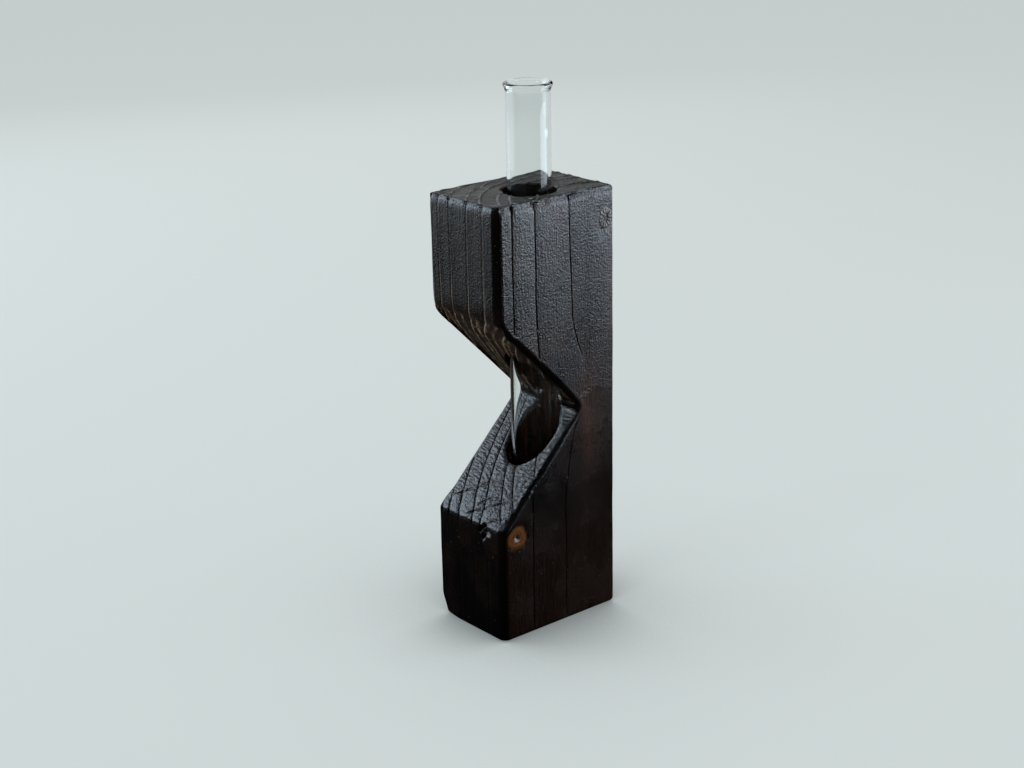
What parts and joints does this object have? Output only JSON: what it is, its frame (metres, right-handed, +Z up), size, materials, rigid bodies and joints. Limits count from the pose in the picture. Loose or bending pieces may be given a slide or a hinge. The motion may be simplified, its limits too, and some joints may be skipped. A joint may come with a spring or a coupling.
{
  "type": "test tube vase",
  "caption": "Single-stem vase: an upright charred-wood block with a deep V notch, bored from its top end to hold a loose glass test tube that crosses the notch.",
  "frame": {"origin": "middle of the block's foot, on the surface that it stands on", "axes": "+Z up along the block, the notch opens towards -X, and Y runs through the block's thickness with the bore a little nearer the -Y face"},
  "size_m": [0.055, 0.037, 0.2013],
  "materials": {
    "charred_softwood": "charred, wire-brushed along the grain and sealed with satin lacquer",
    "clear_glass": "clear, smooth, fire-polished rim"
  },
  "bodies": {
    "block": {"timber_block": "charred_softwood"},
    "tube": {"test_tube": "clear_glass"}
  },
  "joints": [
    {"name": "tube_lift", "type": "slide", "parent": "block", "child": "tube", "axis": [0, 0, 1], "range_m": [0, 0.13]}
  ]
}
